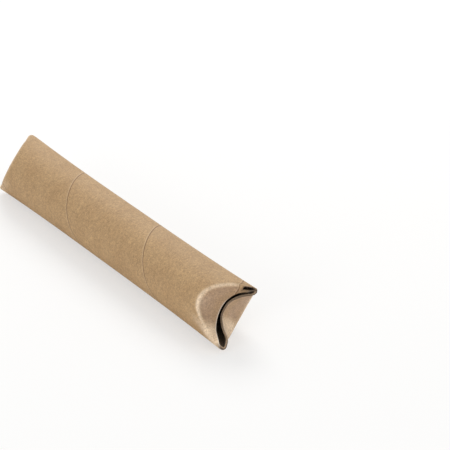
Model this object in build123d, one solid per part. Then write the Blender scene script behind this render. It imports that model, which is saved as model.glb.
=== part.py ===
from build123d import *
import math
import os
from dataclasses import dataclass

# Mailing tube of spiral-wound kraft board, folded shut at both ends.
# Each end is one closed fold: two halves of the wall are pushed in along curved creases until
# their cut edges nearly meet, and the rim between them stands up as two tips.
# The tube lies on its side along Y, with its front end at -Y. Every length is in millimetres.

# Driving dimensions
LENGTH = 366.0              # over the tips of both ends
INSIDE_DIAMETER = 50.8
WALL = 2.0
TIP_ROLL = 54.0             # degrees from level up to the line through the two tips of an end
REST_FLAT = 0.33            # how far the wall has given along the line that the tube lies on

FLARE_OVAL = 0.051          # share of the radius by which an end is drawn out to an oval
FLARE_POINT = 0.023         # the same, for the points that the oval gets at its tips
FLARE_REACH = 150.0         # how far along the tube the flare fades out, leaving the middle round
FLARE_FADE = 2.5            # how steeply it does so near the rim
CREASE_RADIUS = 1.5         # bend of the wall's middle layer along a curved crease
TIP_STAND = 1.2             # height from the crease to the rim in the middle of a tip

# How finely the sheet is laid out
STATIONS = 64               # around the tube
BAND_PARTS = 16             # faces that each ruled band round the tube is parted into
PANEL_ROWS = 2              # from the cut edge to the crease
OUTER_CREASE_ROWS = 4       # across the wide bend of the board's outer face
INNER_CREASE_ROWS = 2       # across the sharp bend of its inner face
BODY_RING_DEPTHS = (56.0, FLARE_REACH)      # of the plain body's rings below each end's rim
TIP_CROWDING = 0.30         # how much closer the stations stand at the tips

# Shape of the fold
PUSH_IN = 12.0              # width that a panel has folded in by where its crease is fully formed
OPENING_WIDTH = 2.5         # width over which the fold opens beside a tip
CORNER_POWER = 2.0          # how square the rim's turn from tip to panel is
LEG_SHARE = 0.6             # largest share of a panel's length that its crease may take

# Derived sizes
MIDDLE_RADIUS = INSIDE_DIAMETER / 2 + WALL / 2
OUTSIDE_RADIUS = INSIDE_DIAMETER / 2 + WALL
HALF_LENGTH = LENGTH / 2
REST_LEVEL = REST_FLAT - OUTSIDE_RADIUS
FRONT, BACK = -1, 1                 # the two ends, by their side of the middle along Y
UPPER, LOWER = 1, -1                # the two panels of an end
HIGH_TIP, LOW_TIP = 1, -1           # the two tips of an end
OUTER, INNER = 1, -1                # the two faces of the board


@dataclass
class Corner:
    """One quarter of an end, from a tip to the middle of a folded-in panel."""
    half_width: float       # of the tip, where the panel starts to fold in
    tuck: float             # how far the panel's cut edge is drawn away from the tip
    rise: float = 0.0       # how far the cut edge stands up where the fold is still opening


@dataclass
class Crimp:
    """How one end is folded."""
    corners: dict           # by panel and tip
    half_gap: float         # from the end's middle plane to a panel's cut edge
    crease_drop: dict       # extra depth of each panel's crease
    panel_rise: dict        # how far each panel's cut edge stands up from its crease
    tip_lean: dict          # how far each tip leans in at its rim


# The front end is a hand-made fold: its lower tip stayed open as an ear, the high one is tight.
FRONT_CRIMP = Crimp(
    corners={
        (UPPER, HIGH_TIP): Corner(half_width=3.4, tuck=4.2),
        (UPPER, LOW_TIP): Corner(half_width=9.5, tuck=2.5),
        (LOWER, HIGH_TIP): Corner(half_width=3.0, tuck=4.5),
        (LOWER, LOW_TIP): Corner(half_width=3.4, tuck=8.0, rise=4.0),
    },
    half_gap=1.0,
    crease_drop={UPPER: 2.4, LOWER: 3.8},
    panel_rise={UPPER: 1.2, LOWER: 4.9},
    tip_lean={HIGH_TIP: 1.4, LOW_TIP: 1.2},
)

# The back end is folded evenly, with both tips tight.
EVEN_CORNER = Corner(half_width=3.6, tuck=4.0)
BACK_CRIMP = Crimp(
    corners={(panel, tip): EVEN_CORNER for panel in (UPPER, LOWER) for tip in (HIGH_TIP, LOW_TIP)},
    half_gap=1.0,
    crease_drop={UPPER: 3.4, LOWER: 3.4},
    panel_rise={UPPER: 2.6, LOWER: 2.6},
    tip_lean={HIGH_TIP: 3.0, LOW_TIP: 0.9},
)


def smooth_step(share):
    share = min(max(share, 0.0), 1.0)
    return share * share * (3 - 2 * share)


def flare_at(depth):
    """Share of the full flare at a depth below one end's rim."""
    to_rim = min(depth, LENGTH - depth)
    return max(1 - to_rim / FLARE_REACH, 0.0) ** FLARE_FADE


def body_point(angle, depth, offset=0.0):
    """A point of the unfolded body, in the axes of one end: X towards the middle of the upper
    panel, Y towards the high tip, Z out along the tube, with the rim at 0. The oval keeps the
    girth of the round tube: it is drawn from its support function, whose normal points along
    angle, and offset moves the point along that normal."""
    flare = flare_at(depth)
    oval = FLARE_OVAL * flare
    point = FLARE_POINT * flare
    support = 1 - oval * math.cos(2 * angle) + point * math.cos(4 * angle)
    slope = 2 * oval * math.sin(2 * angle) - 4 * point * math.sin(4 * angle)
    along_normal = support * MIDDLE_RADIUS + offset
    along_rim = slope * MIDDLE_RADIUS
    return Vector(
        along_normal * math.cos(angle) - along_rim * math.sin(angle),
        along_normal * math.sin(angle) + along_rim * math.cos(angle),
        -depth,
    )


def fold_points(crimp, angle):
    """Where one line of the wall's middle layer is creased, and where it ends at the cut edge."""
    panel = UPPER if math.cos(angle) > 0 else LOWER
    tip = HIGH_TIP if math.sin(angle) > 0 else LOW_TIP
    corner = crimp.corners[panel, tip]
    toward_tip = abs(math.sin(angle))
    depth = 0.0
    for _ in range(5):
        wall = body_point(angle, depth)
        beside_tip = smooth_step((abs(wall.Y) / OUTSIDE_RADIUS - 0.15) / 0.85)
        limit = crimp.half_gap + (corner.half_width - crimp.half_gap) * beside_tip
        edge_x = wall.X / (1 + abs(wall.X / limit) ** CORNER_POWER) ** (1 / CORNER_POWER)
        folded_in = abs(wall.X - edge_x)
        opened = 1 - math.exp(-folded_in / OPENING_WIDTH)
        formed = smooth_step(folded_in / PUSH_IN)
        pull = corner.tuck * toward_tip**2 * opened + crimp.tip_lean[tip] * toward_tip**8
        lift = corner.rise * opened * toward_tip**3
        stand = TIP_STAND + (crimp.panel_rise[panel] - TIP_STAND) * formed + lift
        leg = math.hypot(folded_in, pull)
        depth = math.hypot(leg, TIP_STAND) + crimp.crease_drop[panel] * formed + 0.35 * lift
    crease = Vector(wall.X, wall.Y, -depth)
    edge = Vector(edge_x, wall.Y - tip * pull, stand - depth)
    return crease, edge


def station_angles():
    """Angles of the lines along which the sheet is laid out, closer together at the tips."""
    even = [2 * math.pi * i / STATIONS for i in range(STATIONS)]
    return [angle + TIP_CROWDING * math.sin(2 * angle) for angle in even]


def bend_point(start, apex, stop, weight, share):
    """A point of the round bend that touches both legs of a corner."""
    before = (1 - share) ** 2
    middle = 2 * share * (1 - share) * weight
    after = share**2
    return (start * before + apex * middle + stop * after) / (before + middle + after)


def folded_rows(crimp, side):
    """One end of the board's outer or inner face: the rows from its cut edge to the far side of
    its crease."""
    angles = station_angles()
    folds = [fold_points(crimp, angle) for angle in angles]
    offset = side * WALL / 2
    crease_rows = OUTER_CREASE_ROWS if side == OUTER else INNER_CREASE_ROWS
    rows = [[] for _ in range(PANEL_ROWS + crease_rows)]
    for i, angle in enumerate(angles):
        crease, edge = folds[i]
        last_crease, last_edge = folds[i - 1]
        next_crease, next_edge = folds[(i + 1) % STATIONS]
        crease_way = (next_crease - last_crease).normalized()
        edge_way = (next_edge - last_edge).normalized()
        leg = (edge - crease).normalized()
        up = Vector(0, 0, 1)

        body_normal = crease_way.cross(up).normalized()
        panel_normal = crease_way.cross(leg).normalized()
        edge_normal = edge_way.cross(leg).normalized()
        half_fold = math.radians(body_normal.get_angle(panel_normal)) / 2

        # The face's own corner lies on the same line along the tube as the middle layer's.
        apex_depth = -crease.Z - offset * math.tan(half_fold) / crease_way.cross(up).length
        apex = body_point(angle, apex_depth, offset)
        edge_end = edge + edge_normal * offset
        panel_leg = edge_end - apex

        reach = (CREASE_RADIUS + offset) * math.tan(half_fold)
        down_reach = reach / crease_way.cross(up).length
        panel_reach = reach / crease_way.cross(leg).length
        longest = LEG_SHARE * panel_leg.length
        if panel_reach > longest:
            down_reach *= longest / panel_reach
            panel_reach = longest
        panel_start = apex + panel_leg.normalized() * panel_reach
        body_start = body_point(angle, apex_depth + down_reach, offset)

        for k in range(PANEL_ROWS):
            rows[k].append(edge_end + (panel_start - edge_end) * k / PANEL_ROWS)
        weight = math.cos(half_fold)
        for k in range(crease_rows):
            share = k / (crease_rows - 1)
            rows[PANEL_ROWS + k].append(bend_point(panel_start, apex, body_start, weight, share))
    return rows


def lay_down(point, end):
    """Puts a point of one end's axes where it lies in the tube on its side."""
    roll = math.radians(TIP_ROLL)
    across = point.Y * math.cos(roll) - point.X * math.sin(roll)
    height = point.Y * math.sin(roll) + point.X * math.cos(roll)
    return Vector(across, end * (HALF_LENGTH + point.Z), max(height, REST_LEVEL))


def ring(points):
    """A closed smooth line round the tube, through one point at each station."""
    shares = [i / STATIONS for i in range(STATIONS + 1)]
    return Edge.make_spline(points, periodic=True, parameters=shares)


def band(rings):
    """Ruled faces from each ring to the next, parted at even steps round the tube."""
    faces = []
    for ring, after in zip(rings, rings[1:]):
        for part in range(BAND_PARTS):
            start = part / BAND_PARTS
            stop = (part + 1) / BAND_PARTS
            faces.append(Face.make_surface_from_curves(ring.trim(start, stop), after.trim(start, stop)))
    return faces


def body_row(depth, side):
    """A level ring of the plain body, at a depth below the front end's rim."""
    offset = side * WALL / 2
    return [lay_down(body_point(angle, depth, offset), FRONT) for angle in station_angles()]


def board_face(side):
    """The faces of one side of the board, and its rings at the two cut edges."""
    front = [[lay_down(point, FRONT) for point in row] for row in folded_rows(FRONT_CRIMP, side)]
    back = [[lay_down(point, BACK) for point in row] for row in folded_rows(BACK_CRIMP, side)]
    depths = [*BODY_RING_DEPTHS, *(LENGTH - depth for depth in BODY_RING_DEPTHS[::-1])]
    body = [body_row(depth, side) for depth in depths]
    rings = [ring(row) for row in front + body + back[::-1]]
    return band(rings), rings[0], rings[-1]


def make_tube():
    outer_faces, outer_front, outer_back = board_face(OUTER)
    inner_faces, inner_front, inner_back = board_face(INNER)
    rims = band([outer_front, inner_front]) + band([outer_back, inner_back])
    tube = Solid(Shell(outer_faces + inner_faces + rims))
    box = tube.bounding_box()
    return tube.moved(Location((-box.center().X, -box.center().Y, -box.min.Z)))


tube = make_tube()
tube.label = "tube"

os.makedirs("parts", exist_ok=True)
export_step(tube, "parts/tube.step")
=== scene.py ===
import copy
import math

import bpy
from mathutils import Color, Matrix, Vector, noise


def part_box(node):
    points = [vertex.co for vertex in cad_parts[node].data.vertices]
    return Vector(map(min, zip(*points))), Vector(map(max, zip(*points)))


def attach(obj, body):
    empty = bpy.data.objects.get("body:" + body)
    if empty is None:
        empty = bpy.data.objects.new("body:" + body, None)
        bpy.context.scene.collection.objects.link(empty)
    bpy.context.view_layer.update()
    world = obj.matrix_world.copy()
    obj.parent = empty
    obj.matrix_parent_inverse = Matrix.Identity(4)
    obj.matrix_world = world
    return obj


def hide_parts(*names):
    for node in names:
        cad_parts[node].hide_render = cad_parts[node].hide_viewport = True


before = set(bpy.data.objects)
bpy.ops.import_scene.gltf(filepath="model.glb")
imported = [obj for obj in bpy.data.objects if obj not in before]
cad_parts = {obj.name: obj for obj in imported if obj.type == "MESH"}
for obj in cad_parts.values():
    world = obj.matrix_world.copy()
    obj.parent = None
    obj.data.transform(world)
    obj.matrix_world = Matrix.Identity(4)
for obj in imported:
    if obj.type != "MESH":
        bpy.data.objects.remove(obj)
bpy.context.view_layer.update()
LOW_CORNER, HIGH_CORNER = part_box("tube")

bl_info = {
    "name": "Folded-end mailing tube",
    "version": (1, 0, 0),
    "blender": (4, 5, 0),
    "location": "View3D > Sidebar > Mailing tube",
    "description": "Dresses a spiral-wound kraft board tube whose ends are folded shut",
    "category": "Add Mesh",
}

MM = 1000                   # millimetres in a metre, the frame's unit

FRONT, BACK = -1, 1         # the two ends, by their side of the middle along Y
UPPER, LOWER = 1, -1        # the two panels of an end
HIGH_TIP, LOW_TIP = 1, -1   # the two tips of an end
OUTER, INNER = 1, -1        # the two faces of the board

# The fold's own sizes, in millimetres, in the axes of one end: X towards the middle of the upper
# panel, Y towards the high tip, Z out along the tube, with the rim at 0.
OUT_OF_END = Vector((0, 0, 1))
RIM_OVERSHOOT = 0.53        # how far the outer arrises of both tips pass the wall's middle layer
LENGTH = (HIGH_CORNER.y - LOW_CORNER.y) * MM - RIM_OVERSHOOT
FLARE_OVAL = 0.051          # share of the radius by which an end is drawn out to an oval
FLARE_POINT = 0.023         # the same, for the points that the oval gets at its tips
FLARE_REACH = 150.0         # how far along the tube the flare fades out, leaving the middle round
FLARE_FADE = 2.5            # how steeply it does so near the rim
REST_FLAT = 0.33            # how far the wall has given along the line that the tube lies on
TIP_STAND = 1.2             # height from the crease to the rim in the middle of a tip
PUSH_IN = 12.0              # width that a panel has folded in by where its crease is fully formed
OPENING_WIDTH = 2.5         # width over which the fold opens beside a tip
CORNER_POWER = 2.0          # how square the rim's turn from tip to panel is
GAP_KEEPS = 0.15            # share of the radius over which the gap is as narrow as in its middle
TUCK_POWER = 2              # how close to the tips the panels' edges are drawn away,
RISE_POWER = 3              # how close they stand up where the fold is still opening,
LEAN_POWER = 8              # and how close they lean with the tip
RISE_DEPTH = 0.35           # share of its edge's rise by which a crease lies deeper
DEPTH_ROUNDS = 5            # rounds in which a crease's depth is fitted to the flare there
LEG_SHARE = 0.6             # largest share of a panel's length that its crease may take
TIP_CROWDING = 0.30         # how much closer the stations stand at the tips

# Each corner of a fold is (half width of the tip, how far the panel's edge is drawn away from the
# tip, how far it stands up where the fold is still opening).
FRONT_FOLD = {
    "corners": {
        (UPPER, HIGH_TIP): (3.4, 4.2, 0.0),
        (UPPER, LOW_TIP): (9.5, 2.5, 0.0),
        (LOWER, HIGH_TIP): (3.0, 4.5, 0.0),
        (LOWER, LOW_TIP): (3.4, 8.0, 4.0),
    },
    "half_gap": 1.0,
    "crease_drop": {UPPER: 2.4, LOWER: 3.8},
    "panel_rise": {UPPER: 1.2, LOWER: 4.9},
    "tip_lean": {HIGH_TIP: 1.4, LOW_TIP: 1.2},
}
BACK_FOLD = {
    "corners": {
        (panel, tip): (3.6, 4.0, 0.0) for panel in (UPPER, LOWER) for tip in (HIGH_TIP, LOW_TIP)
    },
    "half_gap": 1.0,
    "crease_drop": {UPPER: 3.4, LOWER: 3.4},
    "panel_rise": {UPPER: 2.6, LOWER: 2.6},
    "tip_lean": {HIGH_TIP: 3.0, LOW_TIP: 0.9},
}

# How finely the sheet is laid out: stations round it, and rows along it.
STATIONS = 320
PANEL_ROWS = 16
CREASE_ROWS = 10
NEAR_ROWS = 9
NEAR_DEPTH = 48.0           # depth that the rows near a fold reach
NEAR_CROWDING = 1.5         # how much closer they stand at the fold
BODY_ROWS = 12
FACET_CLEARANCE = 0.03      # keeps the smooth board inside the frame's flat facets

# The cut edge.
PLIES = 5
ROWS_PER_PLY = 4
RIM_INSET = 0.006           # share of the wall by which its outer rows lie inside the faces
SOFTENED_RIM = 0.16         # how far the knife's pressure has rounded the board's arris
ARRIS_SHARE = 0.07          # share of the wall that the rounding takes on each side
GLUE_GROOVE = 0.10          # depth of the groove at a glue line
GROOVE_SHARE = 0.22         # share of a ply that it takes on each side
RAGGED_PLY = 0.07           # how far the knife has torn the plies down unevenly
RAGGED_FINE = 0.03          # and the fibres in them
PLY_STEPS = (0.13, 7.3, 5.1)            # noise steps between stations, plies and ends
FINE_STEPS = (0.61, 9.0, 2.7)           # and between stations, faces of the board and ends

# How fresh the torn paper of the cut edge looks, from 0, dull, to 1, cream. Along a panel it is
# the first number, and grows by the second from the third on, over the fourth: both are shares of
# the way from the panel's middle to the low tip. A tip has its own tone.
EDGE_TONES = {UPPER: (0.0, 1.0, -0.60, 0.5), LOWER: (0.15, 0.75, 0.45, 0.3)}
TIP_TONES = {HIGH_TIP: 0.6, LOW_TIP: 1.0}
TIP_REACH = 0.13            # how far from a tip its tone and soil fade out, in the angle's sine
EDGE_WIDTH = 0.6            # width of the face along the cut edge that is torn pale
TIP_SOIL = 0.95             # how far handling has darkened the tips
SOIL_WIDTH = 2.2            # and the width of the face that it has reached

# A painted highlight lies pale along a line of each crease, and another pales the paper where the
# fold is open.
CREASE_LINE = 0.55          # where that line lies in the bend, counted from the panel
PALE_GAIN = 2.0             # how much sooner than the fold itself the pale line is at its full tone
PALE_WIDTH = 2.0            # how far the pale tone spreads from it on the body's side
PALE_SPREAD = {UPPER: 1.9, LOWER: 3.0}      # and on each panel's side
HIGHLIGHT_FROM = {UPPER: 0.46, LOWER: 0.12}    # share of the way to the low tip where each panel pales
HIGHLIGHT_OVER = {UPPER: 0.28, LOWER: 0.34}
HIGHLIGHT_FRONT = 0.95          # how pale the painted highlight leaves it at the front end
HIGHLIGHT_BACK = 0.35          # and at the back end, where it is weaker
HIGHLIGHT_DEPTH = 9.0          # how far down the body the painted highlight reaches
SHEEN_LEAST, SHEEN_MORE = 0.55, 0.45    # grey of a panel's painted sheen at its cut edge, and what it gains
SHEEN_REACH = 0.6           # share of the way to the crease at which it has gained it

# The outer ply has parted from the others beside the front end's high tip. Angles are in degrees
# round the tube from the middle of the upper panel.
PARTED_FROM, PARTED_TO = 51.0, 88.0
PARTED_OPENS, PARTED_CLOSES = 13.0, 8.0
PARTED_BELOW_RIM = 0.5      # the parted paper ends at least so far below the tip's rim
PARTED_PLY = 0.55           # thickness of the parted paper, with the glue on it
PARTED_SHORT = 0.38         # share of its height by which the parted paper is torn short
PARTED_SOIL = 0.7           # how far handling has darkened its torn edge
POCKET_SHARE = 0.72         # share of the wall by which the plies behind it are pressed in
POCKET_LEAST, POCKET_MORE = 0.35, 0.65  # share of that, and of the pocket's painted shade, at the cut edge, and what it gains
POCKET_FROM, POCKET_OVER = 0.4, 0.4     # from where, and over how much, of the way to the crease
SHADE_SHOWS = 0.55           # depth under the parted ply from which only the painted shade of the pocket shows

# The torn fibres.
RIM_GUIDE = "cut_edge_guide"
FIBRE_SEED = 7
FIBRE_ROOM = 1.5            # lengths of a fibre that must be free before the frame's box ends
FIBRE_LEAN = 0.9            # how far one may lean from the way in which the sheet runs out
FIBRE_LEAST = 0.35          # the shortest one's share of the full length

KRAFT = "board_kraft_paper"
CUT_EDGE = "board_cut_plies"
LINER = "board_grey_liner"
FIBRES = "torn_paper_fibres"
# The pocket under the parted ply has a material of painted shade.
POCKET_SHADE = "dried_starch_glue"
SHEET = "sheet"             # the UV map that lays the board out flat, in metres

# The seam in the outer ply, across it in metres: how far each of its lines is shifted, up to how
# far from there it has its full tone, where it is gone, and that tone. The groove's tone is painted
# shade and the ridge's a painted highlight.
SEAM_GROOVE = (0.0, 0.00025, 0.00064, 0.78)
SEAM_RIDGE = (0.0011, 0.0002, 0.0008, 0.18)

# Inputs of the nodes that tables fill, and the sockets of one that mixes colours: how much, of
# which colour, over which one, and the result.
NOISE_INPUTS = ("Vector", "Scale", "Detail", "Roughness")
RANGE_INPUTS = ("Value", "From Min", "From Max", "To Min", "To Max")
SHARE, OVER, UNDER, MIXED = 0, 7, 6, 2

# The stage, in metres. The camera stands where the photograph was taken from.
CAMERA_TURN, CAMERA_RISE = -34.08, 26.81    # degrees from straight before the front end
CAMERA_AIM = (0.1170, 0.0116, 0.0)
CAMERA_AWAY = 2.3906
CAMERA_LENS, CAMERA_SENSOR = 211.4, 36.0    # millimetres
CAMERA_SEES = 50.0
LAMPS = (                   # the name, place, size and power in watts of each
    ("soft_lamp_behind", (0.9, 1.3, 1.6), 1.4, 25.0),
    ("soft_lamp_left", (-2.2, -0.8, 0.8), 1.3, 13.0),
    ("soft_lamp_front", (0.5, -2.4, 1.0), 1.3, 9.0),
)
AIR_LIGHT = 0.64            # what the white surroundings give the object
FLOOR_HALF = 5.0
FLOOR_WHITE = 0.55          # how much of the floor's look is plain white, the rest being lit
WHITE = Color((1, 1, 1))


def linear(hex_code):
    """Turns an sRGB hex colour into the linear one that Blender works in."""
    shares = [int(hex_code[i:i + 2], 16) / 255 for i in (1, 3, 5)]
    return tuple(s / 12.92 if s <= 0.04045 else ((s + 0.055) / 1.055) ** 2.4 for s in shares)


def length(name, description, default, least, most):
    """A length in metres that the user can change."""
    return bpy.props.FloatProperty(
        name=name, description=description, default=default, min=least, max=most, unit="LENGTH",
    )


def tint(name, hex_code, description):
    """A colour that the user can change."""
    return bpy.props.FloatVectorProperty(
        name=name, description=description, default=linear(hex_code), subtype="COLOR",
        size=3, min=0.0, max=1.0,
    )


class Spot:
    """One point of the laid-out sheet, with the marks that its materials read."""

    def __init__(
        self, point, along, crease=0.0, panel=0.0, ply=0.0, tone=0.0, soiled=0.0, pocket_shade=0.0,
    ):
        self.point = point      # in the tube's axes, in millimetres
        self.along = along      # distance along the sheet
        self.crease = crease    # how far a painted highlight pales the paper
        self.panel = panel      # how far a painted sheen greys it
        self.ply = ply          # place across the cut edge, from the outer face to the inner
        self.tone = tone        # how fresh the torn paper looks
        self.soiled = soiled    # how far handling has darkened it
        self.pocket_shade = pocket_shade    # how deep it lies under the parted ply: how far it is pressed in, and how dark its painted shade


class TubeSizes(bpy.types.PropertyGroup):
    """Sizes of the wound tube and its folds."""
    inside_diameter: length("Inside diameter", "Width of the bore", 0.0508, 0.02, 0.2)
    wall: length("Wall", "Thickness of the wound board", 0.002, 0.0005, 0.006)
    crease_radius: length(
        "Crease radius", "Bend of the wall's middle layer along a curved crease",
        0.0015, 0.0011, 0.005,
    )
    tip_roll: bpy.props.FloatProperty(
        name="Tip roll", description="Angle from level up to the line through an end's two tips",
        default=math.radians(54), subtype="ANGLE",
    )
    seam_pitch: length(
        "Seam pitch", "Distance along the tube between turns of the outer ply", 0.125, 0.02, 0.4,
    )
    seam_start: length(
        "Seam start", "Distance from the middle at which the seam passes the upper panel's middle",
        0.070, -0.4, 0.4,
    )
    fibre_length: length(
        "Fibre length", "Length of the torn fibres on the cut edges", 0.0007, 0.0001, 0.003,
    )
    fibre_spacing: length(
        "Fibre spacing", "Distance between torn fibres along the cut edges", 0.0004, 0.0001, 0.01,
    )


class TubeColours(bpy.types.PropertyGroup):
    """Colours of the kraft board."""
    kraft: tint("Kraft", "#B19168", "Plain kraft face of the outer ply")
    kraft_dark: tint("Kraft shade", "#9A7850", "Darker clouds where the pulp is denser")
    # The crease colour is a painted highlight, on the creases, on the open folds and on the seam's
    # ridge.
    crease: tint("Crease", "#E8D0B2", "Paper stretched pale over the curved crease")
    # The panel colour is a painted sheen that greys the folded-in panels.
    panel: tint("Panel", "#B1967D", "Face of the folded-in panels, scuffed greyer by handling")
    seam: tint("Seam", "#6E4F31", "Shadowed edge of the outer ply")
    cut_fresh: tint("Fresh edge", "#F0E4D2", "Freshly torn outer ply")
    cut_light: tint("Cut edge", "#BCA083", "Plies of the cut edge where they are clean")
    cut_dull: tint("Dull edge", "#84735F", "Plies of the cut edge where handling has dulled them")
    cut_dark: tint("Ply line", "#5A4431", "Glue lines between plies")
    soil: tint("Soil", "#3A2819", "Grime that handling has rubbed into the arris at the tips")
    # The pocket colour is painted shade, nearly black, behind the parted outer ply.
    pocket_shade: tint("Pocket", "#060302", "Dark glue in the pocket behind the parted outer ply")
    liner: tint("Liner", "#6A6459", "Grey-brown face inside the tube")


def half_mm(width):
    """Half of a width in metres, in millimetres."""
    return width * MM / 2


def smooth_step(share):
    share = min(max(share, 0.0), 1.0)
    return share * share * (3 - 2 * share)


def fade(distance, width):
    """1 on a line, fading out to both sides of it."""
    return math.exp(-(distance / width) ** 2)


def panel_at(angle):
    return UPPER if math.cos(angle) > 0 else LOWER


def tip_at(angle):
    return HIGH_TIP if math.sin(angle) > 0 else LOW_TIP


def flare_at(depth):
    """Share of the full flare at a depth below one end's rim."""
    to_rim = min(depth, LENGTH - depth)
    return max(1 - to_rim / FLARE_REACH, 0.0) ** FLARE_FADE


def body_point(middle_radius, angle, depth, offset=0.0):
    """A point of the unfolded body. The oval keeps the girth of the round tube: it is drawn from
    its support function, and offset moves the point along the wall's normal."""
    flare = flare_at(depth)
    oval = FLARE_OVAL * flare
    point = FLARE_POINT * flare
    support = 1 - oval * math.cos(2 * angle) + point * math.cos(4 * angle)
    slope = 2 * oval * math.sin(2 * angle) - 4 * point * math.sin(4 * angle)
    along_normal = support * middle_radius + offset
    along_rim = slope * middle_radius
    return Vector((
        along_normal * math.cos(angle) - along_rim * math.sin(angle),
        along_normal * math.sin(angle) + along_rim * math.cos(angle),
        -depth,
    ))


def fold_points(sizes, fold, angle):
    """Where one line of the wall's middle layer is creased, where it ends at the cut edge, and how
    fully its crease has formed."""
    middle_radius = half_mm(sizes.inside_diameter + sizes.wall)
    outside_radius = middle_radius + half_mm(sizes.wall)
    panel, tip = panel_at(angle), tip_at(angle)
    half_width, tuck, rise = fold["corners"][panel, tip]
    toward_tip = abs(math.sin(angle))
    depth = 0.0
    for _ in range(DEPTH_ROUNDS):
        wall = body_point(middle_radius, angle, depth)
        beside_tip = smooth_step((abs(wall.y) / outside_radius - GAP_KEEPS) / (1 - GAP_KEEPS))
        limit = fold["half_gap"] + (half_width - fold["half_gap"]) * beside_tip
        edge_x = wall.x / (1 + abs(wall.x / limit) ** CORNER_POWER) ** (1 / CORNER_POWER)
        folded_in = abs(wall.x - edge_x)
        opened = 1 - math.exp(-folded_in / OPENING_WIDTH)
        formed = smooth_step(folded_in / PUSH_IN)
        lean = fold["tip_lean"][tip] * toward_tip**LEAN_POWER
        pull = tuck * toward_tip**TUCK_POWER * opened + lean
        lift = rise * opened * toward_tip**RISE_POWER
        stand = TIP_STAND + (fold["panel_rise"][panel] - TIP_STAND) * formed + lift
        leg = math.hypot(folded_in, pull)
        drop = fold["crease_drop"][panel] * formed
        depth = math.hypot(leg, TIP_STAND) + drop + RISE_DEPTH * lift
    crease = Vector((wall.x, wall.y, -depth))
    edge = Vector((edge_x, wall.y - tip * pull, stand - depth))
    return crease, edge, formed


def station_angles():
    """Angles of the lines along which the sheet is laid out, closer together at the tips."""
    even = [2 * math.pi * i / STATIONS for i in range(STATIONS)]
    return [angle + TIP_CROWDING * math.sin(2 * angle) for angle in even]


def face_offset(sizes, side):
    """From the wall's middle layer to one of its faces."""
    return side * half_mm(sizes.wall) - (FACET_CLEARANCE if side == OUTER else 0.0)


def bend_point(start, apex, stop, weight, share):
    """A point of the round bend that touches both legs of a corner."""
    before = (1 - share) ** 2
    middle = 2 * share * (1 - share) * weight
    after = share**2
    return (start * before + apex * middle + stop * after) / (before + middle + after)


def tip_share(angle):
    """1 at the two tips, 0 on the panels."""
    return 1 - smooth_step((1 - abs(math.sin(angle))) / TIP_REACH)


def edge_tone(angle):
    """How fresh the torn paper of the cut edge looks."""
    least, more, start, over = EDGE_TONES[panel_at(angle)]
    tone = least + more * smooth_step((-math.sin(angle) - start) / over)
    return tone + (TIP_TONES[tip_at(angle)] - tone) * tip_share(angle)


def edge_soil(angle):
    """How far handling has darkened the arris of the cut edge."""
    return TIP_SOIL * tip_share(angle)


def ply_lift(angle):
    """How far the outer ply has parted from the others on one line along the tube."""
    degrees = math.degrees(angle)
    opens = smooth_step((degrees - PARTED_FROM) / PARTED_OPENS)
    return opens * smooth_step((PARTED_TO - degrees) / PARTED_CLOSES)


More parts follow.
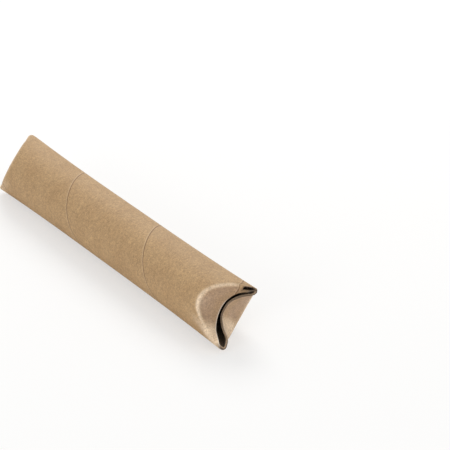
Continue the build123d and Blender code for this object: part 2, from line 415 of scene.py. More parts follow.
def end_rows(sizes, fold, side):
    """One end of the board's outer or inner face, as rows of spots from its cut edge to the plain
    body."""
    middle_radius = half_mm(sizes.inside_diameter + sizes.wall)
    offset = face_offset(sizes, side)
    angles = station_angles()
    folds = [fold_points(sizes, fold, angle) for angle in angles]
    rows = [[] for _ in range(PANEL_ROWS + CREASE_ROWS + NEAR_ROWS)]
    for i, angle in enumerate(angles):
        crease, edge, formed = folds[i]
        last_crease, last_edge, _ = folds[i - 1]
        next_crease, next_edge, _ = folds[(i + 1) % STATIONS]
        crease_way = (next_crease - last_crease).normalized()
        edge_way = (next_edge - last_edge).normalized()
        leg = (edge - crease).normalized()
        across_body = crease_way.cross(OUT_OF_END)
        across_panel = crease_way.cross(leg)
        half_fold = across_body.normalized().angle(across_panel.normalized()) / 2

        # Square to the crease, the bend starts as far from the corner on the body as on the
        # panel. Where the panel is too short for that, both are shortened alike.
        apex_depth = -crease.z - offset * math.tan(half_fold) / across_body.length
        apex = body_point(middle_radius, angle, apex_depth, offset)
        edge_end = edge + edge_way.cross(leg).normalized() * offset
        panel_leg = edge_end - apex
        panel_way = panel_leg.normalized()
        reach = (sizes.crease_radius * MM + offset) * math.tan(half_fold)
        down_reach = reach / across_body.length
        panel_reach = reach / across_panel.length
        longest = LEG_SHARE * panel_leg.length
        if panel_reach > longest:
            down_reach *= longest / panel_reach
            panel_reach = longest
        panel_start = apex + panel_way * panel_reach
        start_depth = apex_depth + down_reach
        body_start = body_point(middle_radius, angle, start_depth, offset)

        # The arris of the cut edge is a little rounded, so the face stops short of it.
        edge_end = edge_end - panel_way * SOFTENED_RIM
        panel_length = (edge_end - panel_start).length
        bend_length = (panel_start - body_start).length
        crease_line = CREASE_LINE * bend_length
        panel = panel_at(angle)
        spread = PALE_SPREAD[panel]
        # Painted highlight where the fold is open, weaker at the back end; the panels' painted
        # sheen gives way to it.
        open_fold_highlight = smooth_step((-math.sin(angle) - HIGHLIGHT_FROM[panel]) / HIGHLIGHT_OVER[panel])
        open_fold_highlight *= HIGHLIGHT_FRONT if fold is FRONT_FOLD else HIGHLIGHT_BACK
        # Painted highlight along the crease, at its full tone before the fold is fully formed.
        crease_highlight = min(PALE_GAIN * formed, 1.0)
        panel_sheen = formed * (1 - open_fold_highlight)
        lift = ply_lift(angle) if fold is FRONT_FOLD else 0.0
        for k in range(PANEL_ROWS):
            share = (1 - math.cos(math.pi * k / PANEL_ROWS)) / 2
            to_crease = panel_length * (1 - share)
            gained = smooth_step(share / SHEEN_REACH)
            deeper = smooth_step((share - POCKET_FROM) / POCKET_OVER)
            rows[k].append(Spot(
                edge_end + (panel_start - edge_end) * share,
                bend_length + to_crease - start_depth,
                crease=max(crease_highlight * fade(crease_line + to_crease, spread), open_fold_highlight),
                panel=panel_sheen * (SHEEN_LEAST + SHEEN_MORE * gained),
                tone=fade(panel_length * share, EDGE_WIDTH) * edge_tone(angle),
                soiled=edge_soil(angle) * fade(panel_length * share, SOIL_WIDTH),
                pocket_shade=lift * (POCKET_LEAST + POCKET_MORE * deeper),
            ))
        for k in range(CREASE_ROWS):
            share = k / (CREASE_ROWS - 1)
            from_line = bend_length * share - crease_line
            width = spread if from_line < 0 else PALE_WIDTH
            rows[PANEL_ROWS + k].append(Spot(
                bend_point(panel_start, apex, body_start, math.cos(half_fold), share),
                bend_length * (1 - share) - start_depth,
                crease=max(crease_highlight * fade(from_line, width), open_fold_highlight),
                panel=panel_sheen * (1 - smooth_step(share)),
                soiled=edge_soil(angle) * fade(panel_length + bend_length * share, SOIL_WIDTH),
                pocket_shade=lift**2,
            ))
        for k in range(NEAR_ROWS):
            share = ((k + 1) / (NEAR_ROWS + 1)) ** NEAR_CROWDING
            depth = start_depth + (NEAR_DEPTH - start_depth) * share
            below = depth - start_depth
            paled = crease_highlight * fade(bend_length - crease_line + below, PALE_WIDTH)
            rows[PANEL_ROWS + CREASE_ROWS + k].append(Spot(
                body_point(middle_radius, angle, depth, offset), -depth,
                crease=max(paled, open_fold_highlight * fade(below, HIGHLIGHT_DEPTH)),
            ))
    return rows


def lay_down(sizes, point, end):
    """Puts a point of one end's axes where it lies in the tube on its side."""
    roll = sizes.tip_roll
    rest_level = REST_FLAT - half_mm(sizes.inside_diameter) - sizes.wall * MM
    across = point.y * math.cos(roll) - point.x * math.sin(roll)
    height = point.y * math.sin(roll) + point.x * math.cos(roll)
    return Vector((across, end * (LENGTH / 2 + point.z), max(height, rest_level)))


def board_shift(sizes):
    """From the tube's own axes to the frame's, in metres: it is centred over the frame's box and
    stands on its floor."""
    shift = (LOW_CORNER + HIGH_CORNER) / 2
    shift.z = LOW_CORNER.z + (sizes.inside_diameter / 2 + sizes.wall) - REST_FLAT / MM
    return shift


def face_rows(sizes, side):
    """One face of the board, as rows of spots from the front end's cut edge to the back end's."""
    middle_radius = half_mm(sizes.inside_diameter + sizes.wall)
    front = end_rows(sizes, FRONT_FOLD, side)
    back = end_rows(sizes, BACK_FOLD, side)
    for rows, end in ((front, FRONT), (back, BACK)):
        for spot in (spot for row in rows for spot in row):
            spot.point = lay_down(sizes, spot.point, end)
            spot.along = -end * (LENGTH / 2 + spot.along)
    offset = face_offset(sizes, side)
    body = []
    for k in range(BODY_ROWS):
        depth = NEAR_DEPTH + (LENGTH - 2 * NEAR_DEPTH) * k / (BODY_ROWS - 1)
        walls = [body_point(middle_radius, angle, depth, offset) for angle in station_angles()]
        body.append([Spot(lay_down(sizes, wall, FRONT), LENGTH / 2 - depth) for wall in walls])
    return front + body + back[::-1]


def press_pocket(outer, inner):
    """Presses the board's outer face in under the parted ply, towards the inner face."""
    for row, behind in zip(outer, inner):
        for spot, below in zip(row, behind):
            spot.point = spot.point.lerp(below.point, POCKET_SHARE * spot.pocket_shade)


def torn_down(steps, *places):
    """How far the knife has torn the board down at one place of the cut edge."""
    return abs(noise.noise(Vector([place * step for place, step in zip(places, steps)])))


def rim_rows(outer, inner, outward, end):
    """The cut edge between the two faces' last rows: a soft arris each side, and plies that stand
    a little unevenly with a groove at each glue line."""
    angles = station_angles()
    rows = []
    count = PLIES * ROWS_PER_PLY
    for k in range(count + 1):
        share = k / count
        ply, across = divmod(share * PLIES, 1)
        groove = GLUE_GROOVE * (1 - smooth_step(min(across, 1 - across) / GROOVE_SHARE))
        arris = SOFTENED_RIM * (1 - smooth_step(min(share, 1 - share) / ARRIS_SHARE))
        place = RIM_INSET + (1 - 2 * RIM_INSET) * share
        row = []
        for i in range(STATIONS):
            height = SOFTENED_RIM - arris - groove
            height -= RAGGED_PLY * torn_down(PLY_STEPS, i, ply, end)
            height -= RAGGED_FINE * torn_down(FINE_STEPS, i, share, end)
            row.append(Spot(
                outer[i].point.lerp(inner[i].point, place) + outward[i] * height,
                outer[i].along, ply=share, tone=edge_tone(angles[i]), soiled=edge_soil(angles[i]),
            ))
        rows.append(row)
    return rows


def outward_ways(rows):
    """The directions in which the sheet runs out over its cut edge."""
    return [(rows[0][i].point - rows[1][i].point).normalized() for i in range(STATIONS)]


def signed_volume(mesh):
    """Positive where the faces of a closed mesh point outwards."""
    mesh.calc_loop_triangles()
    total = 0.0
    for triangle in mesh.loop_triangles:
        a, b, c = (mesh.vertices[i].co for i in triangle.vertices)
        total += a.dot(b.cross(c))
    return total


def add_object(context, name, data):
    made = bpy.data.objects.new(name, data)
    context.scene.collection.objects.link(made)
    return made


def board_piece(context, name, points, quads, uvs, looks, spots, marks, materials, flat=()):
    """Makes a closed piece of board. Each face has a look, the name of its material, and each of
    its corners has a place on the sheet. The spots' marks become attributes of the points."""
    mesh = bpy.data.meshes.new(name)
    mesh.from_pydata(points, [], quads)
    mesh.uv_layers.new(name=SHEET)
    mesh.uv_layers[SHEET].data.foreach_set("uv", [part for uv in uvs for part in uv])
    for mark in marks:
        values = [getattr(spot, mark) for spot in spots]
        mesh.attributes.new(mark, "FLOAT", "POINT").data.foreach_set("value", values)
    for material in materials:
        mesh.materials.append(material)
    slots = {material.name: slot for slot, material in enumerate(materials)}
    mesh.polygons.foreach_set("material_index", [slots[look] for look in looks])
    mesh.polygons.foreach_set("use_smooth", [look not in flat for look in looks])
    mesh.validate()
    if signed_volume(mesh) < 0:
        mesh.flip_normals()
    return add_object(context, name, mesh)


class MAILTUBE_OT_board(bpy.types.Operator):
    """Winds the board, folds both ends and gives it its plies, seam and kraft faces"""
    bl_idname = "mailtube.board"
    bl_label = "Folded board"

    def execute(self, context):
        sizes = context.scene.mailtube_sizes
        outer = face_rows(sizes, OUTER)
        inner = face_rows(sizes, INNER)
        press_pocket(outer, inner)
        front_rim = rim_rows(outer[0], inner[0], outward_ways(outer), FRONT)
        back_rim = rim_rows(outer[-1], inner[-1], outward_ways(outer[::-1]), BACK)
        rings = outer + back_rim + inner[::-1] + front_rim[::-1]
        bands = [KRAFT] * (len(outer) - 1) + [CUT_EDGE] * (len(back_rim) + 1)
        bands += [LINER] * (len(inner) - 1) + [CUT_EDGE] * (len(front_rim) + 1)

        angles = station_angles() + [2 * math.pi]
        girth_radius = (sizes.inside_diameter + sizes.wall) / 2
        quads = []
        uvs = []
        looks = []
        for j, band in enumerate(bands):
            after = (j + 1) % len(rings)
            for i in range(STATIONS):
                beside = (i + 1) % STATIONS
                corners = ((j, i), (j, beside), (after, beside), (after, i))
                quads.append([ring * STATIONS + station for ring, station in corners])
                first, last = angles[i] * girth_radius, angles[i + 1] * girth_radius
                alongs = [rings[ring][station].along / MM for ring, station in corners]
                uvs += zip((first, last, last, first), alongs)
                # Deep under the parted ply the face takes the pocket's material of painted shade.
                pocket_shade = min(rings[j][i].pocket_shade, rings[after][beside].pocket_shade)
                looks.append(POCKET_SHADE if band == KRAFT and pocket_shade > SHADE_SHOWS else band)

        shift = board_shift(sizes)
        spots = [spot for ring in rings for spot in ring]
        board = board_piece(
            context, "folded_board", [spot.point / MM + shift for spot in spots],
            quads, uvs, looks, spots, ("crease", "panel", "ply", "tone", "soiled", "pocket_shade"),
            [new_material(context, name, finish) for name, finish in BOARD_MATERIALS],
        )
        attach(board, "root")
        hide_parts("tube")
        return {"FINISHED"}


class MAILTUBE_OT_parted_ply(bpy.types.Operator):
    """Lets the outer ply stand off the fold beside the front end's high tip"""
    bl_idname = "mailtube.parted_ply"
    bl_label = "Parted outer ply"

    def execute(self, context):
        sizes = context.scene.mailtube_sizes
        rows = end_rows(sizes, FRONT_FOLD, OUTER)[PANEL_ROWS + CREASE_ROWS - 1::-1]
        angles = station_angles()
        columns = [
            i for i in range(STATIONS) if PARTED_FROM <= math.degrees(angles[i]) <= PARTED_TO
        ]
        outer = []
        for row in rows:
            line = []
            for i in columns:
                root = rows[0][i]
                lift = ply_lift(angles[i])
                top = rows[-1][i].along
                room = (min(top, -PARTED_BELOW_RIM) - root.along) / (top - root.along)
                rise = (row[i].along - root.along) * room * (1 - PARTED_SHORT * lift)
                straight = Vector((root.point.x, root.point.y, root.along + rise))
                to_edge = (rows[-1][i].point - row[i].point).length
                line.append(Spot(
                    row[i].point.lerp(straight, lift), row[i].along,
                    crease=row[i].crease * (1 - lift), panel=row[i].panel * (1 - lift),
                    soiled=max(row[i].soiled, PARTED_SOIL * lift * fade(to_edge, SOIL_WIDTH)),
                ))
            outer.append(line)

        # The paper's thickness lies inside the line of the wall, so that it never stands proud.
        inner = []
        for j, line in enumerate(outer):
            below = outer[max(j - 1, 0)]
            above = outer[min(j + 1, len(outer) - 1)]
            laid = [copy.copy(spot) for spot in line]
            for i, spot in enumerate(laid):
                beside = line[min(i + 1, len(line) - 1)].point - line[max(i - 1, 0)].point
                normal = beside.cross(above[i].point - below[i].point).normalized()
                spot.point = spot.point - normal * PARTED_PLY
            inner.append(laid)

        shift = board_shift(sizes)
        girth_radius = (sizes.inside_diameter + sizes.wall) / 2
        spots = []
        points = []
        sheet = []
        for line in outer + inner:
            spots += line
            points += [lay_down(sizes, spot.point, FRONT) / MM + shift for spot in line]
            sheet += [
                (angles[i] * girth_radius, (LENGTH / 2 + spot.along) / MM)
                for i, spot in zip(columns, line)
            ]
        width = len(columns)
        behind = len(outer) * width
        grid = [[j * width + i for i in range(width)] for j in range(len(outer))]
        quads = []
        looks = []
        for line in grid[:-1]:
            for first, last in zip(line, line[1:]):
                quad = (first, last, last + width, first + width)
                quads += [quad, [corner + behind for corner in reversed(quad)]]
                looks += [KRAFT, LINER]
        border = grid[0] + [line[-1] for line in grid[1:]]
        border += grid[-1][-2::-1] + [line[0] for line in grid[-2:0:-1]]
        for first, last in zip(border, border[1:] + border[:1]):
            quads.append((last, first, first + behind, last + behind))
            looks.append(CUT_EDGE)
        ply = board_piece(
            context, "parted_outer_ply", points, quads,
            [sheet[corner] for quad in quads for corner in quad], looks, spots,
            ("crease", "panel", "soiled"),
            [bpy.data.materials[look] for look in (KRAFT, LINER, CUT_EDGE)], flat=(CUT_EDGE,),
        )
        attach(ply, "root")
        return {"FINISHED"}


class MAILTUBE_OT_fibres(bpy.types.Operator):
    """Sets torn fibres along both cut edges"""
    bl_idname = "mailtube.fibres"
    bl_label = "Torn fibres"

    def execute(self, context):
        sizes = context.scene.mailtube_sizes
        shift = board_shift(sizes)
        points = []
        edges = []
        ways = []
        for fold, end in ((FRONT_FOLD, FRONT), (BACK_FOLD, BACK)):
            outer = end_rows(sizes, fold, OUTER)
            first = len(points)
            for spot, outward in zip(outer[0], outward_ways(outer)):
                root = lay_down(sizes, spot.point, end)
                points.append(root / MM + shift)
                ways.append((lay_down(sizes, spot.point + outward, end) - root).normalized())
            # The rims of the tips get none, because the fibres would reach past the frame's box.
            room = [
                HIGH_CORNER.y - abs(point.y) > FIBRE_ROOM * sizes.fibre_length
                for point in points[first:]
            ]
            for i in range(STATIONS):
                beside = (i + 1) % STATIONS
                if room[i] and room[beside]:
                    edges.append((first + i, first + beside))
        mesh = bpy.data.meshes.new(RIM_GUIDE)
        mesh.from_pydata(points, edges, [])
        mesh.attributes.new("outward", "FLOAT_VECTOR", "POINT").data.foreach_set(
            "vector", [part for way in ways for part in way]
        )
        guide = add_object(context, RIM_GUIDE, mesh)

        tree = fibre_tree(new_material(context, FIBRES, torn_fibres))
        modifier = guide.modifiers.new("torn_fibres", "NODES")
        modifier.node_group = tree
        settings = {
            "Spacing": sizes.fibre_spacing, "Length": sizes.fibre_length, "Seed": FIBRE_SEED,
        }
        for item in tree.interface.items_tree:
            if item.item_type == "SOCKET" and item.in_out == "INPUT" and item.name in settings:
                modifier[item.identifier] = settings[item.name]
        evaluated = guide.evaluated_get(context.evaluated_depsgraph_get())
        made = bpy.data.meshes.new_from_object(evaluated)
        guide.modifiers.remove(modifier)
        bpy.data.objects.remove(guide)
        bpy.data.node_groups.remove(tree)
        if not made.polygons:
            raise RuntimeError("the cut edges got no fibres")
        made.name = "torn_fibres"
        fibres = add_object(context, "torn_fibres", made)
        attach(fibres, "root")
        return {"FINISHED"}


def add_node(tree, kind, fill=None, **settings):
    """Adds a node, makes its settings, and fills or links its inputs. A node links by its first
    output."""
    made = tree.nodes.new(kind)
    for name, value in settings.items():
        setattr(made, name, value)
    for name, value in (fill or {}).items():
        if isinstance(value, bpy.types.Node):
            value = value.outputs[0]
        if isinstance(value, bpy.types.NodeSocket):
            tree.links.new(value, made.inputs[name])
        else:
            plain = isinstance(value, Color)
            made.inputs[name].default_value = (*value, 1.0) if plain else value
    return made


def add_rows(tree, kind, inputs, *rows, **settings):
    """Adds a node for each row, which fills the inputs named."""
    return [add_node(tree, kind, dict(zip(inputs, row)), **settings) for row in rows]


def fibre_tree(material):
    """Geometry Nodes tree: bent paper fibres at even steps along the guide, leaning at random from
    the way in which the sheet runs out."""
    tree = bpy.data.node_groups.new("torn_fibres", "GeometryNodeTree")
    for name, way, kind in (
        ("Geometry", "INPUT", "Geometry"), ("Spacing", "INPUT", "Float"),
        ("Length", "INPUT", "Float"), ("Seed", "INPUT", "Int"), ("Geometry", "OUTPUT", "Geometry"),
    ):
        tree.interface.new_socket(name, in_out=way, socket_type="NodeSocket" + kind)
    given = add_node(tree, "NodeGroupInput").outputs

    line = add_node(tree, "GeometryNodeMeshToCurve", {"Mesh": given["Geometry"]})
    evened = add_node(tree, "GeometryNodeResampleCurve", {
        "Curve": line.outputs["Curve"], "Length": given["Spacing"],
    }, mode="LENGTH")
    outward = add_node(tree, "GeometryNodeInputNamedAttribute", {
        "Name": "outward",
    }, data_type="FLOAT_VECTOR")
    leaning = add_node(tree, "FunctionNodeRandomValue", {
        0: (-FIBRE_LEAN,) * 3, 1: (FIBRE_LEAN,) * 3, "Seed": given["Seed"],
    }, data_type="FLOAT_VECTOR")
    way = add_node(tree, "ShaderNodeVectorMath", {0: outward, 1: leaning}, operation="ADD")
    turned = add_node(tree, "FunctionNodeAlignRotationToVector", {"Vector": way}, axis="Z")
    size = add_node(tree, "FunctionNodeRandomValue", {
        2: FIBRE_LEAST, 3: 1.0, "Seed": given["Seed"],
    }, data_type="FLOAT")

    # One fibre: a bent strand of about unit length and a tenth as thick. Real ones are far
    # thinner, too fine to show.
    strand = add_node(tree, "GeometryNodeCurveQuadraticBezier", {
        "Resolution": 3, "Start": (0, 0, -0.15), "Middle": (0, 0, 0.6), "End": (0.35, 0.1, 0.9),
    })
    section = add_node(tree, "GeometryNodeCurvePrimitiveCircle", {"Resolution": 3, "Radius": 0.06})
    fibre = add_node(tree, "GeometryNodeCurveToMesh", {
        "Curve": strand, "Profile Curve": section, "Fill Caps": True,
    })
    scale = add_node(tree, "ShaderNodeMath", {
        0: size.outputs[1], 1: given["Length"],
    }, operation="MULTIPLY")
    placed = add_node(tree, "GeometryNodeInstanceOnPoints", {
        "Points": evened, "Instance": fibre,
        "Rotation": turned, "Scale": scale,
    })
    real = add_node(tree, "GeometryNodeRealizeInstances", {0: placed})
    dressed = add_node(tree, "GeometryNodeSetMaterial", {0: real, "Material": material})
    add_node(tree, "NodeGroupOutput", {0: dressed})
    return tree


def new_material(context, name, finish):
    """Makes a material. The function finish lays its nodes and gives its shader."""
    material = bpy.data.materials.new(name)
    material.use_nodes = True
    tree = material.node_tree
    tree.nodes.clear()
    shader = finish(tree, context.scene)
    add_node(tree, "ShaderNodeOutputMaterial", {"Surface": shader})
    return material


def speckled(tree, under, over, scale, detail, roughness, window, most):
    """Lays clouds or specks of one colour over another, and gives the colour and the pattern."""
    place = add_node(tree, "ShaderNodeTexCoord").outputs["Object"]
    pattern = add_node(tree, "ShaderNodeTexNoise", {
        "Vector": place, "Scale": scale, "Detail": detail, "Roughness": roughness,
    })
    share = add_node(tree, "ShaderNodeMapRange", {
        "Value": pattern, "From Min": window[0], "From Max": window[1],
        "To Min": 0.0, "To Max": most,
    })
    mixed = add_node(tree, "ShaderNodeMix", {
        SHARE: share, OVER: over, UNDER: under,
    }, data_type="RGBA")
    return mixed.outputs[MIXED], pattern


def kraft_paper(tree, scene):
    """Unbleached kraft paper, machine calendered and wound on a mandrel. The eye sees short crossed
    fibres, soft clouds where the pulp lay thicker, and one spiral seam where a turn of the outer
    ply butts on the last."""
    sizes, colours = scene.mailtube_sizes, scene.mailtube_colours
    sheet = add_node(tree, "ShaderNodeUVMap", uv_map=SHEET).outputs["UV"]
    place = add_node(tree, "ShaderNodeTexCoord").outputs["Object"]
    crease, panel, tone, soiled, pocket_shade = (
        add_node(tree, "ShaderNodeAttribute", attribute_name=mark).outputs["Fac"]
        for mark in ("crease", "panel", "tone", "soiled", "pocket_shade")
    )

    # Clouds of pulp about 22 mm across, mottling of about 3 mm, and specks of about 1.2 mm: real
    # ones are half as large, and are drawn as coarse as they need to show.
    clouds, mottle, specks = add_rows(
        tree, "ShaderNodeTexNoise", NOISE_INPUTS,
        (place, 45.0, 3.0, 0.55), (place, 340.0, 4.0, 0.65), (place, 830.0, 2.0, 0.6),
    )
    # Fibres of 2.5 mm by 0.3 mm that lie three ways: real ones are a tenth as wide, too fine to
    # show.
    fibres = 0.0
    for turn in (0.35, 1.55, 2.6):
        turned = add_node(tree, "ShaderNodeMapping", {
            "Vector": sheet, "Rotation": (0, 0, turn), "Scale": (400.0, 3200.0, 1.0),
        })
        height = add_node(tree, "ShaderNodeTexNoise", {
            "Vector": turned, "Scale": 1.0, "Detail": 2.0, "Roughness": 0.5,
        })
        fibres = add_node(tree, "ShaderNodeMath", {0: fibres, 1: height}, operation="MAXIMUM")
    cloud_share, mottle_value, speck_value, fibre_share, roughness = add_rows(
        tree, "ShaderNodeMapRange", RANGE_INPUTS,
        (clouds, 0.36, 0.66, 0.0, 0.38), (mottle, 0.30, 0.70, 0.85, 1.16),
        (specks, 0.30, 0.70, 0.77, 1.23), (fibres, 0.55, 0.80, 0.0, 0.35),
        (fibres, 0.4, 0.8, 0.62, 0.80),
    )

    # The seam is a helix on the sheet, where turns of the outer ply meet: how far a point lies
    # from it, in turns and then in metres, gives its groove, darkened with painted shade, and the
    # ridge beside that, paled with a painted highlight.
    girth = math.pi * (sizes.inside_diameter + sizes.wall)
    lead = math.cos(math.atan2(sizes.seam_pitch, girth)) * sizes.seam_pitch
    distance, along, _ = add_node(tree, "ShaderNodeSeparateXYZ", {0: sheet}).outputs
    for operation, *values in (
        ("MULTIPLY", 1 / girth),
        ("ADD", add_node(tree, "ShaderNodeMath", {
            0: along, 1: 1 / sizes.seam_pitch, 2: -sizes.seam_start / sizes.seam_pitch,
        }, operation="MULTIPLY_ADD")),
        ("WRAP", 0.5, -0.5),
        ("MULTIPLY", lead),
    ):
        fill = dict(enumerate([distance, *values]))
        distance = add_node(tree, "ShaderNodeMath", fill, operation=operation)
    lines = []
    for across, full, gone, strength in (SEAM_GROOVE, SEAM_RIDGE):
        moved = add_node(tree, "ShaderNodeMath", {0: distance, 1: across}, operation="ADD")
        apart = add_node(tree, "ShaderNodeMath", {0: moved}, operation="ABSOLUTE")
        lines += add_rows(
            tree, "ShaderNodeMapRange", RANGE_INPUTS, (apart, full, gone, strength, 0.0),
            interpolation_type="SMOOTHSTEP",
        )
    groove, ridge = lines

    # The coats, from the bare paper up. One without a colour makes what lies under it brighter or
    # darker. The panel's grey is a painted sheen, the crease's pale is a painted highlight, the
    # pocket's near black is painted shade, and the seam's ridge and groove are a painted highlight
    # and painted shade.
    colour = colours.kraft
    for share, coat in (
        (panel, colours.panel), (crease, colours.crease), (cloud_share, colours.kraft_dark),
        (mottle_value, None), (speck_value, None), (fibre_share, colours.kraft_dark),
        (tone, colours.cut_fresh), (soiled, colours.soil), (pocket_shade, colours.pocket_shade),
        (ridge, colours.crease), (groove, colours.seam),
    ):
        if coat is None:
            colour = add_node(tree, "ShaderNodeHueSaturation", {"Color": colour, "Value": share})
        else:
            colour = add_node(tree, "ShaderNodeMix", {
                SHARE: share, OVER: coat, UNDER: colour,
            }, data_type="RGBA").outputs[MIXED]

    # Relief: fibres stand 0.03 mm proud and the mottling 0.09 mm, and the seam is 0.12 mm deep.
    relief = None
    for height, strength, distance, sunk in (
        (fibres, 0.35, 0.0001, False), (mottle, 0.30, 0.0003, False), (groove, 0.5, 0.00025, True),
    ):
        fill = {"Height": height, "Strength": strength, "Distance": distance}
        if relief:
            fill["Normal"] = relief
        relief = add_node(tree, "ShaderNodeBump", fill, invert=sunk)
    return add_node(tree, "ShaderNodeBsdfPrincipled", {
        "Base Color": colour, "Roughness": roughness, "IOR": 1.5, "Normal": relief,
    })


def cut_plies(tree, scene):
    """Raw edge of the wound board, sheared by the trimming knife. The eye sees five plies with dark
    lines of glue between them, and pale fibre ends that the knife has torn and dulled."""
    colours = scene.mailtube_colours
    place = add_node(tree, "ShaderNodeTexCoord").outputs["Object"]
    ply, tone, soiled = (
        add_node(tree, "ShaderNodeAttribute", attribute_name=mark).outputs["Fac"]
        for mark in ("ply", "tone", "soiled")
    )
    # Torn tufts about 0.7 mm across, and stains about 6 mm long, along which the glue lines wander.
    tufts, stains = add_rows(
        tree, "ShaderNodeTexNoise", NOISE_INPUTS,
        (place, 1400.0, 3.0, 0.6), (place, 160.0, 2.0, 0.5),
    )
    wander, torn = add_rows(
        tree, "ShaderNodeMapRange", RANGE_INPUTS,
        (stains, 0.3, 0.7, -0.04, 0.04), (tufts, 0.46, 0.70, 0.0, 0.60),
    )
    across = add_node(tree, "ShaderNodeMath", {0: ply, 1: wander}, operation="ADD")
    line = across
    for operation, value in (("MULTIPLY", PLIES), ("PINGPONG", 0.5)):
        line = add_node(tree, "ShaderNodeMath", {0: line, 1: value}, operation=operation)
    glue = add_node(tree, "ShaderNodeMapRange", {
        "Value": line, "From Min": 0.04, "From Max": 0.20, "To Min": 0.8, "To Max": 0.0,
    }, interpolation_type="SMOOTHSTEP")
    # The outer ply has its own tone, and handling has darkened the outer two of the five.
    outermost, outer_two = add_rows(
        tree, "ShaderNodeMapRange", RANGE_INPUTS,
        (across, 0.14, 0.24, 1.0, 0.0), (across, 0.28, 0.44, 1.0, 0.0),
    )
    handled = add_node(tree, "ShaderNodeMath", {0: soiled, 1: outer_two}, operation="MULTIPLY")
    outer_ply = add_node(tree, "ShaderNodeMix", {
        SHARE: tone, OVER: colours.cut_fresh, UNDER: colours.cut_dark,
    }, data_type="RGBA")
    colour = colours.cut_dull
    for share, coat in (
        (tone, colours.cut_light), (outermost, outer_ply.outputs[MIXED]),
        (handled, colours.soil), (glue, colours.cut_dark), (torn, colours.cut_dull),
    ):
        colour = add_node(tree, "ShaderNodeMix", {
            SHARE: share, OVER: coat, UNDER: colour,
        }, data_type="RGBA").outputs[MIXED]
    fill = {"Height": tufts, "Strength": 0.7, "Distance": 0.0002}
    relief = add_node(tree, "ShaderNodeBump", fill)
    return add_node(tree, "ShaderNodeBsdfPrincipled", {
        "Base Color": colour, "Roughness": 0.92, "IOR": 1.5, "Normal": relief,
    })


def painted_pocket_shade(tree, scene):
    """Painted shade in the pocket where the outer ply has come off: nearly black, matt and
    crusted, with no shine of its own."""
    colours = scene.mailtube_colours
    # Crusts about 1 mm across.
    colour, crusts = speckled(
        tree, colours.pocket_shade, colours.cut_dark, 1000.0, 2.0, 0.5, (0.50, 0.75), 0.35,
    )
    fill = {"Height": crusts, "Strength": 0.5, "Distance": 0.0002}
    relief = add_node(tree, "ShaderNodeBump", fill)
    return add_node(tree, "ShaderNodeBsdfPrincipled", {
        "Base Color": colour, "Roughness": 1.0, "IOR": 1.15, "Normal": relief,
    })


def torn_fibres(tree, scene):
    """Single kraft fibres that the knife has pulled out: pale, dull and a little see-through at
    the ends, which here is only a paler colour."""
    colours = scene.mailtube_colours
    # Fibres differ in tone over about 2 mm of edge.
    colour, _ = speckled(
        tree, colours.cut_light, colours.kraft_dark, 500.0, 1.0, 0.5, (0.35, 0.65), 1.0,
    )
    return add_node(tree, "ShaderNodeBsdfPrincipled", {
        "Base Color": colour, "Roughness": 0.9, "IOR": 1.5,
    })


def grey_liner(tree, scene):
    """Innermost ply, of recycled chip paper pressed on the waxed mandrel: a duller, greyer brown
    than the kraft face, with darker specks."""
    colours = scene.mailtube_colours
    # Clouds of about 15 mm, and specks about 0.8 mm across.
    clouded, _ = speckled(
        tree, colours.liner, colours.kraft_dark, 65.0, 3.0, 0.5, (0.35, 0.65), 0.4,
    )
    colour, specks = speckled(
        tree, clouded, colours.cut_dark, 1250.0, 3.0, 0.6, (0.55, 0.72), 0.6,
    )
    fill = {"Height": specks, "Strength": 0.3, "Distance": 0.0002}
    relief = add_node(tree, "ShaderNodeBump", fill)
    return add_node(tree, "ShaderNodeBsdfPrincipled", {
        "Base Color": colour, "Roughness": 0.88, "IOR": 1.5, "Normal": relief,
    })


def floor_paper(tree, scene):
    """Matt white background paper. To the camera it is mostly plain white, and it keeps enough of
    its lit face to show the tube's shadow."""
    place = add_node(tree, "ShaderNodeTexCoord").outputs["Object"]
    # Grain about 1.7 mm across, which is coarser than real paper's.
    grain = add_node(tree, "ShaderNodeTexNoise", {"Vector": place, "Scale": 600.0, "Detail": 2.0})
    relief = add_node(tree, "ShaderNodeBump", {
        "Height": grain, "Strength": 0.1, "Distance": 0.0002,
    })
    lit = add_node(tree, "ShaderNodeBsdfDiffuse", {
        "Color": Color(linear("#F7F6F4")), "Normal": relief,
    })
    glow = add_node(tree, "ShaderNodeEmission", {"Color": WHITE, "Strength": 1.0})
    rays = add_node(tree, "ShaderNodeLightPath")
    share = add_node(tree, "ShaderNodeMath", {
        0: rays.outputs["Is Camera Ray"], 1: FLOOR_WHITE,
    }, operation="MULTIPLY")
    return add_node(tree, "ShaderNodeMixShader", {0: share, 1: lit, 2: glow})


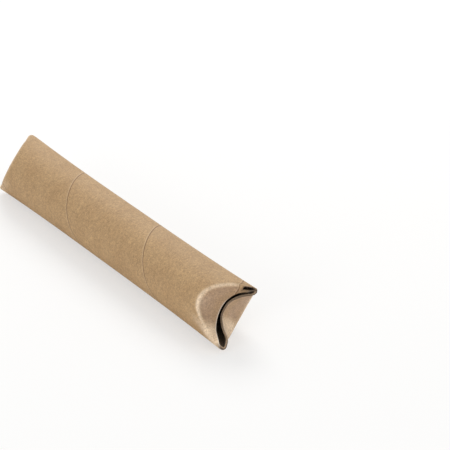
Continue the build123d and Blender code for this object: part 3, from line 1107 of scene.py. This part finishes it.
class MAILTUBE_OT_stage(bpy.types.Operator):
    """Sets the floor, the lamps, the white surroundings and the camera"""
    bl_idname = "mailtube.stage"
    bl_label = "Stage"

    def execute(self, context):
        scene = context.scene
        scene.view_settings.view_transform = "Standard"

        floor_mesh = bpy.data.meshes.new("studio_floor")
        sides = ((-1, -1), (1, -1), (1, 1), (-1, 1))
        floor_mesh.from_pydata(
            [(x * FLOOR_HALF, y * FLOOR_HALF, 0) for x, y in sides], [], [(0, 1, 2, 3)]
        )
        floor = add_object(context, "studio_floor", floor_mesh)
        floor_mesh.materials.append(new_material(context, "studio_white_paper", floor_paper))

        # The surroundings are plain white to the camera and in what the object mirrors.
        world = bpy.data.worlds.new("studio_air")
        scene.world = world
        world.use_nodes = True
        tree = world.node_tree
        tree.nodes.clear()
        rays = add_node(tree, "ShaderNodeLightPath").outputs
        seen = rays["Is Camera Ray"]
        for kind in ("Is Glossy Ray", "Is Transmission Ray"):
            seen = add_node(tree, "ShaderNodeMath", {0: seen, 1: rays[kind]}, operation="MAXIMUM")
        air, white = (
            add_node(tree, "ShaderNodeBackground", {"Color": WHITE, "Strength": strength})
            for strength in (AIR_LIGHT, 1.0)
        )
        chosen = add_node(tree, "ShaderNodeMixShader", {0: seen, 1: air, 2: white})
        add_node(tree, "ShaderNodeOutputWorld", {"Surface": chosen})

        for name, place, size, power in LAMPS:
            lamp = bpy.data.lights.new(name, "AREA")
            lamp.shape = "DISK"
            lamp.size = size
            lamp.energy = power
            holder = add_object(context, name, lamp)
            holder.location = place
            holder.rotation_euler = (-Vector(place)).to_track_quat("-Z", "Y").to_euler()

        turn, rise = math.radians(CAMERA_TURN), math.radians(CAMERA_RISE)
        back = Vector((
            math.sin(turn) * math.cos(rise), -math.cos(turn) * math.cos(rise), math.sin(rise),
        ))
        view = bpy.data.cameras.new("photo_camera")
        view.lens = CAMERA_LENS
        view.sensor_width = CAMERA_SENSOR
        view.clip_end = CAMERA_SEES
        camera = add_object(context, "photo_camera", view)
        camera.location = Vector(CAMERA_AIM) + back * CAMERA_AWAY
        camera.rotation_euler = back.to_track_quat("Z", "Y").to_euler()
        scene.camera = camera
        return {"FINISHED"}


class MAILTUBE_PT_panel(bpy.types.Panel):
    """Sizes, colours and steps of the mailing tube"""
    bl_idname = "MAILTUBE_PT_panel"
    bl_label = "Mailing tube"
    bl_space_type = "VIEW_3D"
    bl_region_type = "UI"
    bl_category = "Mailing tube"

    def draw(self, context):
        for group in (context.scene.mailtube_sizes, context.scene.mailtube_colours):
            box = self.layout.box()
            for name in group.__annotations__:
                box.prop(group, name)
        for step in STEPS:
            self.layout.operator(step.bl_idname)


BOARD_MATERIALS = (
    (KRAFT, kraft_paper), (CUT_EDGE, cut_plies), (LINER, grey_liner), (POCKET_SHADE, painted_pocket_shade),
)
STEPS = (MAILTUBE_OT_board, MAILTUBE_OT_parted_ply, MAILTUBE_OT_fibres, MAILTUBE_OT_stage)
CLASSES = (TubeSizes, TubeColours, *STEPS, MAILTUBE_PT_panel)


def register():
    for each in CLASSES:
        bpy.utils.register_class(each)
    bpy.types.Scene.mailtube_sizes = bpy.props.PointerProperty(type=TubeSizes)
    bpy.types.Scene.mailtube_colours = bpy.props.PointerProperty(type=TubeColours)


def unregister():
    del bpy.types.Scene.mailtube_colours
    del bpy.types.Scene.mailtube_sizes
    for each in reversed(CLASSES):
        bpy.utils.unregister_class(each)


def main():
    register()
    bpy.ops.mailtube.board()
    bpy.ops.mailtube.parted_ply()
    bpy.ops.mailtube.fibres()
    bpy.ops.mailtube.stage()


if __name__ == "__main__":
    main()
